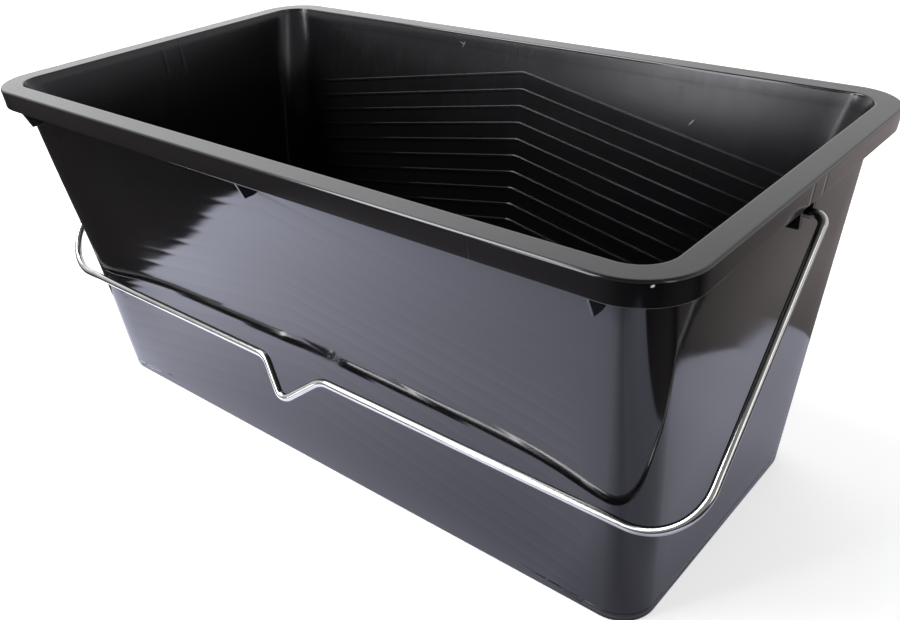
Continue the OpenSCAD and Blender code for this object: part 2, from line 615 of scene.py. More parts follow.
@dataclass(frozen=True)
class MouldMarks:
    """Faint marks of the mould, which are too shallow for the mesh.

    Args:
        cheek_y: Y of a lug's cheeks, behind which the short wall has sunk.
        cheek_line: from the middle of a sink mark to its edge.
        cheek_past_x: the marks lie farther from the middle than this.
        cheek_rise: how they come in with height.
        cheek_top: how they stop under the rim.
        seam_x: place of the parting seam on the front of the skirt.
        seam_line: from its middle to its edge.
        seam_front_y: it lies in front of this.
        seam_top: how it stops under the rim's edge.
        ledge_in: how the ledge comes in with the distance from the middle, along Y.
        ledge_out: distance at which the inside ends.
        ledge_rise: the ledge itself, over Z.
    """

    cheek_y: float = 6.4 * MM
    cheek_depth: float = 0.12 * MM
    cheek_line: Ramp = Ramp(0.2 * MM, 1.8 * MM, 1, 0, smooth=True)
    cheek_past_x: float = 0.19
    cheek_rise: Ramp = Ramp(0.164, 0.176, smooth=True)
    cheek_top: Ramp = Ramp(0.188, 0.189, 1, 0)
    seam_x: float = 131 * MM
    seam_depth: float = 0.02 * MM
    seam_line: Ramp = Ramp(0.1 * MM, 0.5 * MM, 1, 0, smooth=True)
    seam_front_y: float = -0.116
    seam_top: Ramp = Ramp(0.1865, 0.1885, 1, 0)
    ledge_height: float = 0.03 * MM
    ledge_in: Ramp = Ramp(0.090, 0.100)
    ledge_out: float = 0.109
    ledge_rise: Ramp = Ramp(0.183 - 1.2 * MM, 0.183 + 1.2 * MM, smooth=True)


class BlackPolypropylene:
    """Glossy moulded black polypropylene, satin on the flat of the rim."""

    MARKS = (
        Mark((0.2000, -0.1115, 0.1882), (0.75 * MM, 3 * MM, 0.5 * MM), math.radians(-50), 0.9),
        Mark((-0.0470, 0.1053, 0.1841), (2.6 * MM, 4 * MM, 0.4 * MM), math.radians(20), 0.25),
        Mark((-0.0460, 0.1053, 0.1835), (0.45 * MM, 4 * MM, 2.4 * MM), math.radians(25), 0.25),
        Mark((0.1080, 0.0990, 0.1635), (0.40 * MM, 5 * MM, 2.6 * MM), math.radians(38), 0.45),
    )

    def __init__(self, name: str, finish: PlasticFinish, mould: MouldMarks) -> None:
        """Starts the material, whose parts the other methods write.

        Args:
            name: its name.
            finish: its colours, gloss and grain.
            mould: the marks that the mould left.
        """
        self.finish = finish
        self.mould = mould
        self.material, self.n = new_material(name)
        self.place = self.n.add("ShaderNodeTexCoord").outputs["Object"]
        self.x, self.y, self.z = self.n.split(self.place)
        self.satin = self.n.add("ShaderNodeAttribute", attribute_name="satin").outputs["Fac"]

    def build(self) -> bpy.types.Material:
        """Finishes the material.

        Returns:
            The material.
        """
        n = self.n
        shader = n.add("ShaderNodeBsdfPrincipled")
        n.feed(shader, Base_Color=self.colour(), Roughness=self.roughness(), Normal=self.relief())
        n.feed(shader, IOR=self.finish.ior, Specular_Tint=self.finish.gleam)
        n.feed(n.add("ShaderNodeOutputMaterial"), Surface=shader.outputs[0])
        return self.material

    def colour(self) -> Socket:
        """Near black with a faint cloudy bloom, a few grains of dust and the marks.

        Returns:
            The colour.
        """
        n, finish = self.n, self.finish
        base = n.mix_colour(n.pattern(self.place, finish.cloud), finish.deep, finish.bloom)
        speck = n.add("ShaderNodeTexVoronoi")
        n.feed(speck, Vector=self.place, Scale=finish.grain_scale)
        grain = n.ramp(speck.outputs["Distance"], finish.grain_size)
        grains = n.times(grain, n.pattern(self.place, finish.grain_where))
        scuffed = reduce(partial(n.math, "MAXIMUM"), [self.scuff(mark) for mark in self.MARKS])
        return n.mix_colour(scuffed, n.mix_colour(grains, base, finish.dust), finish.scuff)

    def scuff(self, mark: Mark) -> Socket:
        """One of the pale marks.

        Args:
            mark: its place, size and strength.

        Returns:
            Its strength where it is, and 0 away from it.
        """
        n = self.n
        local = n.add("ShaderNodeMapping", vector_type="TEXTURE")
        n.feed(local, Vector=self.place, Location=mark.place, Rotation=(0, mark.turn, 0))
        away = n.add("ShaderNodeVectorMath", operation="LENGTH")
        n.feed(away, Vector=n.feed(local, Scale=mark.half).outputs[0])
        return n.ramp(away.outputs["Value"], Ramp(self.finish.mark_edge, 1.0, mark.strength, 0))

    def roughness(self) -> Socket:
        """Gloss with handling marks, rubbed lines and streaks, rougher on the rim's flat.

        Returns:
            The roughness.
        """
        n, finish = self.n, self.finish
        share = n.ramp(self.satin, finish.streaks_where)
        hazy = n.times(n.pattern(self.place, finish.streaks), share)
        lines = n.plus(n.pattern(self.place, finish.rubbed), hazy)
        gloss = n.plus(n.pattern(self.place, finish.smear), lines, finish.gloss_roughness)
        lift = finish.satin_roughness - finish.gloss_roughness
        return n.math("MULTIPLY_ADD", self.satin, lift, gloss)

    def relief(self) -> Socket:
        """Slow waves, the mould's marks, and a fine grain that is stronger on the rim's flat.

        Returns:
            The bumped normal.
        """
        n, finish, mould = self.n, self.finish, self.mould
        height = n.minus(n.times(n.pattern(self.place, finish.wave), finish.wave_height),
                         n.times(self.cheeks(), mould.cheek_depth))
        height = n.plus(height, n.times(self.ledge(), mould.ledge_height))
        height = n.minus(height, n.times(self.seam(), mould.seam_depth))
        waves = n.feed(n.add("ShaderNodeBump"), Height=height, Distance=1.0, Strength=1.0)
        strength = n.math("MULTIPLY_ADD", self.satin, finish.fine_on_satin, finish.fine_on_gloss)
        grain = n.add("ShaderNodeBump")
        n.feed(grain, Height=n.times(n.pattern(self.place, finish.fine), strength))
        n.feed(grain, Distance=finish.fine_height, Normal=waves.outputs[0])
        return grain.outputs[0]

    def cheeks(self) -> Socket:
        """The sink marks where a lug's two cheeks meet the wall.

        Returns:
            1 in a mark and 0 away from it.
        """
        n, mould = self.n, self.mould
        from_cheek = n.math("ABSOLUTE", n.minus(n.math("ABSOLUTE", self.y), mould.cheek_y))
        at_end = n.math("GREATER_THAN", n.math("ABSOLUTE", self.x), mould.cheek_past_x)
        high = n.times(n.ramp(self.z, mould.cheek_rise), n.ramp(self.z, mould.cheek_top))
        return n.times(n.ramp(from_cheek, mould.cheek_line), at_end, high)

    def seam(self) -> Socket:
        """The parting seam that runs down the front of the skirt.

        Returns:
            1 in the seam and 0 away from it.
        """
        n, mould = self.n, self.mould
        line = n.ramp(n.math("ABSOLUTE", n.minus(self.x, mould.seam_x)), mould.seam_line)
        in_front = n.math("LESS_THAN", self.y, mould.seam_front_y)
        return n.times(line, n.times(in_front, n.ramp(self.z, mould.seam_top)))

    def ledge(self) -> Socket:
        """The faint ledge along the inside of the long walls, a little below the rim.

        Returns:
            0 below the ledge and 1 above it.
        """
        n, mould = self.n, self.mould
        away = n.math("ABSOLUTE", self.y)
        inside = n.times(n.ramp(away, mould.ledge_in), n.math("LESS_THAN", away, mould.ledge_out))
        return n.times(inside, n.ramp(self.z, mould.ledge_rise))


@dataclass(frozen=True)
class WireFinish:
    """Finish of the bright drawn steel wire.

    Args:
        around: scale of the drawn lines round the wire.
        along: their scale along it.
        lines: the lines' pattern.
        line_edge: which of them are rough.
        line_roughness: the roughness that they add.
        cloud: where the bright metal turns dull.
        cloud_roughness: the roughness that this adds.
    """

    bright: Colour = (0.56, 0.555, 0.55, 1)
    dull: Colour = (0.44, 0.435, 0.43, 1)
    roughness: float = 0.13
    around: float = 26.0
    along: float = 9.0
    lines: Pattern = Pattern(1.0, 3, 0.65)
    line_edge: Ramp = Ramp(0.5, 0.75)
    line_roughness: float = 0.05
    line_height: float = 0.006 * MM
    cloud: Pattern = Pattern(70, 3, 0.6, ramp=Ramp(0.4, 0.72))
    cloud_roughness: float = 0.05


class BrightWire:
    """Bright plated wire with the fine lines that drawing leaves along it."""

    def __init__(self, finish: WireFinish) -> None:
        """Keeps the finish."""
        self.finish = finish

    def build(self, name: str) -> bpy.types.Material:
        """Makes the material.

        Args:
            name: its name.

        Returns:
            The material.
        """
        finish = self.finish
        material, n = new_material(name)
        place = n.add("ShaderNodeTexCoord").outputs["Object"]
        lay = n.add("ShaderNodeCombineXYZ")
        for axis, layer, scale in (("X", "around", finish.around), ("Y", "along", finish.along)):
            value = n.add("ShaderNodeAttribute", attribute_name=layer).outputs["Fac"]
            n.feed(lay, **{axis: n.times(value, scale)})
        lines = n.pattern(lay.outputs[0], finish.lines)
        cloud = n.pattern(place, finish.cloud)
        shader = n.add("ShaderNodeBsdfPrincipled")
        n.feed(shader, Metallic=1.0, Base_Color=n.mix_colour(cloud, finish.bright, finish.dull))
        rough = n.math("MULTIPLY_ADD", cloud, finish.cloud_roughness, finish.roughness)
        edge = n.ramp(lines, finish.line_edge)
        rough = n.math("MULTIPLY_ADD", edge, finish.line_roughness, rough)
        bump = n.add("ShaderNodeBump")
        n.feed(bump, Height=lines, Distance=finish.line_height, Strength=1.0)
        n.feed(shader, Roughness=rough, Normal=bump.outputs[0])
        n.feed(n.add("ShaderNodeOutputMaterial"), Surface=shader.outputs[0])
        return material


# ---------------------------------------------------------------- the tub's shell


class Wall(Enum):
    """Which outline a loop of the shell follows."""

    RIM = "rim"
    OUTSIDE = "outside"
    INSIDE = "inside"


@dataclass(frozen=True)
class Station:
    """A place along a loop, the same on every loop of the shell.

    Args:
        side: 0 to 3, the side of the loop (+X, +Y, -X, -Y) or the corner after it.
        angle: for a corner, the angle from its side's outward direction; None on a side.
        share: on a side, how far along it, from -1 to 1 between its corners.
        fixed: on a long side, an exact X that overrides share.
    """

    side: int
    angle: float | None = None
    share: float = 0.0
    fixed: float | None = None


@dataclass(frozen=True)
class Loop:
    """One closed loop of the shell.

    Args:
        wall: the outline that it follows.
        z: its height, measured at the middle of the long walls.
        inset: how far it stands in from that outline.
        follow: how far it follows the ribs' chevrons, from 0 to 1.
        relief: how far it stands off the long walls along a rib.
        satin: how satin the surface is there, 1 on the flat of the rim.
        shrink: scales the loop towards the middle, on the floor and the underside.
    """

    wall: Wall
    z: float
    inset: float
    follow: float = 0.0
    relief: float = 0.0
    satin: float = 0.0
    shrink: float = 1.0


class TubShell:
    """The walls, floor and rim of the tub as one closed mesh of loops.

    A guard is the distance from a rounding to the next loop, which keeps the surface beside
    the rounding evenly shaded.  FLANK and SINK draw one side of a rib and one sink mark, each
    point as its depth, as a share of the rib's edge or of the pitch, and its share of the
    full height.  SKIRT_LAND is the flat beside the skirt's inner rounding, the three drafts
    are how far the skirt's faces stand out of plumb at their guards, and the two SATIN values
    say where on the rim's rounding the satin sets in.
    """

    CORNER_STEPS = 12
    LONG_STEP = 8 * MM
    SHORT_COUNT = 17
    ROUND_STEPS = 5
    RAMP_STEPS = 8
    BESIDE_PEAK = (0.0, 0.7 * MM, 1.6 * MM, 3.4 * MM)
    BEFORE_END = 3 * MM
    RUN_OUT = (-0.5, -0.25, 0.0, 0.25, 0.5)
    CORNER_SHARE = 0.965
    LEAST_CORNER = 0.5 * MM
    CLOSE_GUARD = 0.4 * MM
    GUARD = 0.5 * MM
    FAR_GUARD = 0.6 * MM
    SHRINKS = (0.25, 0.5, 0.75, 0.93)
    FLOOR_EDGE = 0.985
    FLANK = ((-1.6, 0.0), (-0.7, 0.0), (-0.3, 0.05), (0.0, 0.2), (0.3, 0.8), (0.6, 0.95),
             (1.0, 1.0), (1.9, 1.0))
    SINK = ((-0.32, 0.0), (-0.2, 0.12), (-0.1, 0.6), (0.0, 1.0), (0.1, 0.6), (0.2, 0.12),
            (0.32, 0.0))
    SKIRT_LAND = 0.3 * MM
    INNER_DRAFT = 0.02 * MM
    OUTER_DRAFT = 0.03 * MM
    EDGE_DRAFT = 0.02 * MM
    SATIN_SPAN = 1.6
    SATIN_START = 0.2

    def __init__(self, sizes: TubSizes, ribs: RibSizes) -> None:
        """Keeps the sizes and works out the stations.

        Args:
            sizes: the tub's sizes.
            ribs: the ribs' sizes.
        """
        self.sizes = sizes
        self.ribs = ribs
        self.stations = self.make_stations()

    # -- places along a loop

    def long_side_places(self) -> list[float]:
        """Places the stations of a long side, closer together at a rib's peak and ends.

        Returns:
            Their exact X, from left to right.
        """
        ribs = self.ribs
        last = ribs.reach - self.BEFORE_END
        middle = spread(self.LONG_STEP, last, round(last / self.LONG_STEP) - 1)
        end = [ribs.reach + share * ribs.end_fade for share in self.RUN_OUT]
        half = [*self.BESIDE_PEAK, *middle, *end]
        return [-x for x in reversed(half[1:])] + half

    def make_stations(self) -> list[Station]:
        """Makes all stations.

        Returns:
            The stations in order, anticlockwise from the start of the +X side.
        """
        found: list[Station] = []
        for side in range(4):
            if side % 2 == 0:
                found += [Station(side, share=s) for s in spread(-1, 1, self.SHORT_COUNT)[:-1]]
            else:
                places = self.long_side_places()
                if side == 1:
                    places.reverse()
                found += [Station(side, share=-1.0), Station(side, share=-self.CORNER_SHARE)]
                found += [Station(side, fixed=x) for x in places]
                found.append(Station(side, share=self.CORNER_SHARE))
            steps = self.CORNER_STEPS
            found += [Station(side, angle=math.pi / 2 * k / steps) for k in range(steps)]
        return found

    def plan(self, station: Station, half_x: float, half_y: float,
             radius: float) -> tuple[float, float]:
        """Finds a station on a rounded rectangle.

        Args:
            station: the station.
            half_x: half-length of the rectangle.
            half_y: its half-width.
            radius: its corner radius.

        Returns:
            The station's X and Y.
        """
        centre_x, centre_y = half_x - radius, half_y - radius
        if station.angle is not None:
            turn = station.angle + math.pi / 2 * station.side
            sign_x = 1 if station.side in (0, 3) else -1
            sign_y = 1 if station.side in (0, 1) else -1
            return (sign_x * centre_x + radius * math.cos(turn),
                    sign_y * centre_y + radius * math.sin(turn))
        if station.side % 2 == 0:
            sign = 1 if station.side == 0 else -1
            return sign * half_x, sign * station.share * centre_y
        sign = 1 if station.side == 1 else -1
        x = -sign * station.share * centre_x if station.fixed is None else station.fixed
        return x, sign * half_y

    # -- the form of the walls

    def bow(self, x: float, y: float, z: float) -> tuple[float, float]:
        """How far the walls are drawn in at a place.

        Args:
            x: its X on the unbowed wall.
            y: its Y there.
            z: its height.

        Returns:
            The shift along X and the shift along Y.
        """
        s = self.sizes
        rise = z / (s.height - s.skirt_height)
        if not 0 < rise < 1:
            return 0.0, 0.0
        swell = math.sin(math.pi * rise ** s.bow_rise) ** s.bow_rounding
        past_x = abs(x) - (s.half_x(z) - s.corner(z))
        past_y = abs(y) - (s.half_y(z) - s.corner(z))
        if past_y <= 0:
            along = max(0.0, 1 - (y / (s.half_y(z) - s.corner(z))) ** 2) ** s.short_bow_rounding
            return -math.copysign(s.short_wall_bow * swell * along, x), 0.0
        along = 1 - s.bow_end
        if past_x > 0:
            along *= past_y / math.hypot(past_x, past_y)
        else:
            share = abs(x) / (s.half_x(z) - s.corner(z))
            along += s.bow_end * math.cos(math.pi / 2 * share ** s.bow_flatness) ** 2
        return 0.0, -math.copysign(s.long_wall_bow * swell * along, y)

    def swelling(self, wall: Wall, x: float, z: float) -> float:
        """How far the inside stands in; above the first rib it opens out towards the rim.

        Args:
            wall: the outline; only the inside swells.
            x: X of the place.
            z: its height.

        Returns:
            The distance.
        """
        if wall is not Wall.INSIDE:
            return 0.0
        s = self.sizes
        depth = s.height - z
        edge = self.ribs.first + self.ribs.fall(x)
        level = min(depth, edge)
        faded = min(s.flare_fade, max(0.0, level - s.flare_depth))
        opening = min(level, s.flare_depth) + faded - faded * faded / (2 * s.flare_fade)
        past = min(s.flare_ease, max(0.0, depth - edge))
        slope = 1 - faded / s.flare_fade
        opening += slope * (past - past * past / (2 * s.flare_ease))
        fall = max(0.0, depth - edge) / (s.height - edge)
        return s.flare * opening * (1 - smooth_step(fall))

    def haze(self, loop: Loop, z: float) -> float:
        """How satin the surface is; the ribs' haze clears on the way down.

        Args:
            loop: the loop that the place is on.
            z: the place's height.

        Returns:
            0 for gloss, 1 for the rim's flat and more for haze.
        """
        if loop.wall is not Wall.INSIDE or loop.satin:
            return loop.satin
        low, high = self.sizes.haze_fade
        return self.sizes.rib_haze * smooth_step((z - low) / (high - low))

    def wall_point(self, station: Station, loop: Loop) -> Vector:
        """A point of a wall, with its rib or sink mark and the bow of the wall.

        Args:
            station: the place along the loop.
            loop: a loop that follows the outside or the inside.

        Returns:
            The point.
        """
        s, ribs = self.sizes, self.ribs
        probe_x, _ = self.plan(station, s.half_x(loop.z), s.half_y(loop.z), s.corner(loop.z))
        z = loop.z - loop.follow * ribs.fall(probe_x)
        swelling = self.swelling(loop.wall, probe_x, z)
        inset = loop.inset + swelling
        radius = s.corner(z) - loop.inset + s.inner_corner_growth * swelling
        x, y = self.plan(station, s.half_x(z) - inset, s.half_y(z) - inset,
                         max(radius, self.LEAST_CORNER))
        shift_x, shift_y = self.bow(x, y, z)
        point = Vector((x + shift_x, y + shift_y, z))
        if loop.relief and station.side % 2 == 1 and station.angle is None:
            sign = 1 if station.side == 1 else -1
            lean = s.long_wall_lean
            inward = Vector((0, -sign * math.cos(lean), math.sin(lean)))
            point += inward * loop.relief * ribs.fade(x)
        return point

    def point(self, station: Station, loop: Loop) -> Vector:
        """A point of any loop.

        Args:
            station: the place along the loop.
            loop: the loop.

        Returns:
            The point.
        """
        s = self.sizes
        if loop.wall is Wall.RIM:
            x, y = self.plan(station, s.length / 2 - loop.inset, s.width / 2 - loop.inset,
                             s.rim_corner - loop.inset)
            return Vector((x, y, loop.z))
        point = self.wall_point(station, loop)
        return Vector((point.x * loop.shrink, point.y * loop.shrink, point.z))

    # -- the loops, from the middle of the underside round to the middle of the floor

    def quarter(self) -> list[float]:
        """Angles over a quarter turn of rounding, in radians, both ends included."""
        return [math.radians(a) for a in spread(0, 90, self.ROUND_STEPS + 1)]

    def underside(self) -> Iterable[Loop]:
        """The flat underside and the rounded bottom edge.

        Returns:
            Their loops, from the middle outwards.
        """
        r = self.sizes.foot_round
        for shrink in self.SHRINKS:
            yield Loop(Wall.OUTSIDE, 0, r, shrink=shrink)
        yield Loop(Wall.OUTSIDE, 0, r + self.CLOSE_GUARD)
        for a in self.quarter():
            yield Loop(Wall.OUTSIDE, r * (1 - math.cos(a)), r * (1 - math.sin(a)))
        yield Loop(Wall.OUTSIDE, r + self.GUARD, 0)

    def rib_rows(self) -> list[tuple[float, float]]:
        """Lists the rows that form the ribs on the inside.

        Returns:
            Each row's depth below the top of the rim, and its share of a rib's height.
        """
        ribs = self.ribs
        rows = []
        for i in range(ribs.count):
            top = ribs.first + i * ribs.pitch
            rows += [(top + share * ribs.edge, level) for share, level in self.FLANK]
            rows += [(top + ribs.width - share * ribs.edge, level)
                     for share, level in reversed(self.FLANK)]
            rows.append((top + (ribs.pitch + ribs.width) / 2, 0.0))
        return rows

    def sink_rows(self) -> list[tuple[float, float]]:
        """Lists the rows that form the sink marks on the outside.

        Returns:
            Each row's depth below the top of the rim, and its share of a mark's depth.
        """
        ribs = self.ribs
        middle = ribs.width / 2
        return [(ribs.first + i * ribs.pitch + middle + share * ribs.pitch, level)
                for i in range(ribs.count) for share, level in self.SINK]

    def ramps(self, top_depth: float, low_depth: float, first: float,
              last: float) -> tuple[list, list]:
        """Lists the plain rows above the first rib and below the last.

        Args:
            top_depth: depth of the highest row.
            low_depth: depth of the lowest row.
            first: depth of the first rib's highest row.
            last: depth of the last rib's lowest row.

        Returns:
            For each group, the rows' depths and how far they follow the chevrons.
        """
        shares = spread(0, 1, self.RAMP_STEPS)
        above = [(top_depth + (first - top_depth) * t, smooth_step(t)) for t in shares[:-1]]
        below = [(last + (low_depth - last) * t, 1 - smooth_step(t)) for t in shares[1:]]
        return above, below

    def outside(self) -> Iterable[Loop]:
        """The outside of the walls.

        Returns:
            Its loops, from the foot up to the rim.
        """
        s = self.sizes
        rows = self.sink_rows()
        low = s.height - s.foot_round - 2 * self.FAR_GUARD
        high = s.rim_thickness + s.root_round + self.FAR_GUARD
        above, below = self.ramps(high, low, rows[0][0], rows[-1][0])
        loops = [Loop(Wall.OUTSIDE, s.height - depth, 0, follow=follow) for depth, follow in above]
        loops += [Loop(Wall.OUTSIDE, s.height - depth, 0, follow=1, relief=self.ribs.sink * level)
                  for depth, level in rows]
        loops += [Loop(Wall.OUTSIDE, s.height - depth, 0, follow=follow) for depth, follow in below]
        return reversed(loops)

    def under_rim(self) -> Iterable[Loop]:
        """The underside of the rim and the inside of its skirt.

        Returns:
            Their loops, from the wall outwards and down.
        """
        s = self.sizes
        under, low = s.height - s.rim_thickness, s.height - s.skirt_height
        wall_at, skirt_at = s.rim_width - s.wall, s.skirt_thickness + self.SKIRT_LAND
        r, c = s.root_round, s.skirt_round
        for a in self.quarter():
            yield Loop(Wall.RIM, under - r * (1 - math.sin(a)), wall_at - r * (1 - math.cos(a)))
        for a in self.quarter():
            yield Loop(Wall.RIM, under - r * (1 - math.cos(a)), skirt_at + r * (1 - math.sin(a)))
        inner = s.skirt_draft + s.skirt_thickness
        yield Loop(Wall.RIM, low + c + self.CLOSE_GUARD, inner - self.INNER_DRAFT)
        for a in self.quarter():
            yield Loop(Wall.RIM, low + c * (1 - math.sin(a)), inner - c * (1 - math.cos(a)))

    def over_rim(self) -> Iterable[Loop]:
        """The outside of the skirt and the flat of the rim.

        Returns:
            Their loops, from the skirt's lower edge up and inwards.
        """
        s = self.sizes
        top, low = s.height, s.height - s.skirt_height
        c, e, soft = s.skirt_round, s.rim_round, s.skirt_satin
        for a in self.quarter():
            yield Loop(Wall.RIM, low + c * (1 - math.cos(a)),
                       s.skirt_draft + c * (1 - math.sin(a)), satin=soft)
        yield Loop(Wall.RIM, low + c + self.CLOSE_GUARD, s.skirt_draft - self.OUTER_DRAFT,
                   satin=soft)
        yield Loop(Wall.RIM, top - e - self.GUARD, self.EDGE_DRAFT, satin=soft)
        for a in self.quarter():
            growing = smooth_step(a / self.SATIN_SPAN - self.SATIN_START)
            yield Loop(Wall.RIM, top - e * (1 - math.sin(a)), e * (1 - math.cos(a)),
                       satin=max(soft * (1 - a), growing))
        for inset in (e + self.GUARD, s.rim_width / 2, s.rim_width - s.lip_round - self.GUARD):
            yield Loop(Wall.RIM, top, inset, satin=1)

    def inside(self) -> Iterable[Loop]:
        """The rounded lip, the inside of the walls with its ribs, and the floor.

        Returns:
            Their loops, from the flat of the rim down and to the middle.
        """
        s = self.sizes
        lip, f = s.lip_round, s.floor_round
        for a in self.quarter():
            yield Loop(Wall.RIM, s.height - lip * (1 - math.cos(a)),
                       s.rim_width - lip * (1 - math.sin(a)), satin=smooth_step(1 - a))
        rows = self.rib_rows()
        low = s.height - s.floor - f - self.GUARD
        above, below = self.ramps(lip + self.FAR_GUARD, low, rows[0][0], rows[-1][0])
        for depth, follow in above:
            yield Loop(Wall.INSIDE, s.height - depth, s.wall, follow=follow, satin=s.band_haze)
        for depth, level in rows:
            relief = self.ribs.height * level
            yield Loop(Wall.INSIDE, s.height - depth, s.wall, follow=1, relief=relief)
        for depth, follow in below:
            yield Loop(Wall.INSIDE, s.height - depth, s.wall, follow=follow)
        for a in self.quarter():
            yield Loop(Wall.INSIDE, s.floor + f * (1 - math.sin(a)), s.wall + f * (1 - math.cos(a)))
        for shrink in (self.FLOOR_EDGE, *reversed(self.SHRINKS)):
            yield Loop(Wall.INSIDE, s.floor, s.wall + f, shrink=shrink)

    def build(self, name: str) -> bpy.types.Object:
        """Makes the shell.

        Args:
            name: the piece's name.

        Returns:
            The shell as one closed mesh object.
        """
        loops = [*self.underside(), *self.outside(), *self.under_rim(), *self.over_rim(),
                 *self.inside()]
        form = bmesh.new()
        satin = form.verts.layers.float.new("satin")
        rings = []
        for loop in loops:
            ring = [form.verts.new(self.point(station, loop)) for station in self.stations]
            for vert in ring:
                vert[satin] = self.haze(loop, vert.co.z)
            rings.append(ring)
        skin(form, rings)
        for ring, z in ((rings[0], loops[0].z), (rings[-1], loops[-1].z)):
            middle = form.verts.new((0, 0, z))
            for this, following in zip(ring, [*ring[1:], ring[0]]):
                form.faces.new((this, following, middle))
        bmesh.ops.recalc_face_normals(form, faces=form.faces)
        return new_object(name, form)


# ---------------------------------------------------------------- gussets and lugs


class Plates:
    """Flat moulded plates with softly rounded edges, gathered into one mesh."""

    BEVEL_STEPS = 2
    BEVEL_PROFILE = 0.7

    def __init__(self, edge_round: float) -> None:
        """Starts with no plate."""
        self.edge_round = edge_round
        self.form = bmesh.new()

    def slab(self, outline: Sequence[Vector], across: Vector) -> None:
        """Adds a plate.

        Args:
            outline: its corners, in the plate's middle plane.
            across: its thickness as a vector, square to that plane.
        """
        near = [self.form.verts.new(p - across / 2) for p in outline]
        far = [self.form.verts.new(p + across / 2) for p in outline]
        faces = [self.form.faces.new(near), self.form.faces.new(far)]
        for i in range(len(outline)):
            j = (i + 1) % len(outline)
            faces.append(self.form.faces.new((near[i], near[j], far[j], far[i])))
        bmesh.ops.recalc_face_normals(self.form, faces=faces)
        edges = list(dict.fromkeys(edge for face in faces for edge in face.edges))
        bmesh.ops.bevel(self.form, geom=edges, offset=self.edge_round, segments=self.BEVEL_STEPS,
                        profile=self.BEVEL_PROFILE, affect="EDGES", clamp_overlap=True)

    def build(self, name: str) -> bpy.types.Object:
        """Makes the object from all plates added so far.

        Args:
            name: its name.

        Returns:
            The object, shaded so that its flat faces look flat.
        """
        item = new_object(name, self.form)
        item.modifiers.new("face weighted shading", "WEIGHTED_NORMAL").keep_sharp = True
        return item


class Gussets:
    """The thin gussets between the long walls and the skirt, each with a level foot."""

    def __init__(self, sizes: TubSizes, gusset: GussetSizes, shell: TubShell) -> None:
        """Keeps the sizes.

        Args:
            sizes: the tub's sizes.
            gusset: the gussets' sizes.
            shell: the shell, for the bow of its walls.
        """
        self.sizes = sizes
        self.gusset = gusset
        self.shell = shell

    def outline(self, wall_low: float, wall_high: float) -> list[tuple[float, float]]:
        """Draws a gusset.

        Args:
            wall_low: distance of the wall from the tub's middle at the gusset's foot.
            wall_high: that distance at the rim.

        Returns:
            The corners' distance from the tub's middle and their height.
        """
        s, g = self.sizes, self.gusset
        bury = s.wall * BURIED
        foot = s.height - g.drop
        skirt_at = s.width / 2 - s.skirt_draft - s.skirt_thickness
        skirt_low = s.height - s.skirt_height + g.above_skirt
        under = s.height - s.rim_thickness * BURIED
        return [(wall_high - bury, under), (s.width / 2 - s.skirt_thickness / 2, under),
                (skirt_at + g.into_skirt, skirt_low),
                (s.half_y(foot) + g.foot, foot), (wall_low - bury, foot)]

    def build(self, name: str) -> bpy.types.Object:
        """Makes all gussets, three on each long wall.

        Args:
            name: the piece's name.

        Returns:
            The gussets as one object.
        """
        s, g = self.sizes, self.gusset
        plates = Plates(g.edge_round)
        foot = s.height - g.drop
        end = s.length / 2 - g.from_end
        for side in (1, -1):
            for x in (-end, 0, end):
                _, shift = self.shell.bow(x, s.half_y(foot), foot)
                corners = self.outline(s.half_y(foot) + shift, s.top_half_y + shift / 2)
                outline = [Vector((x, side * away, z)) for away, z in corners]
                plates.slab(outline, Vector((g.thickness, 0, 0)))
        return plates.build(name)


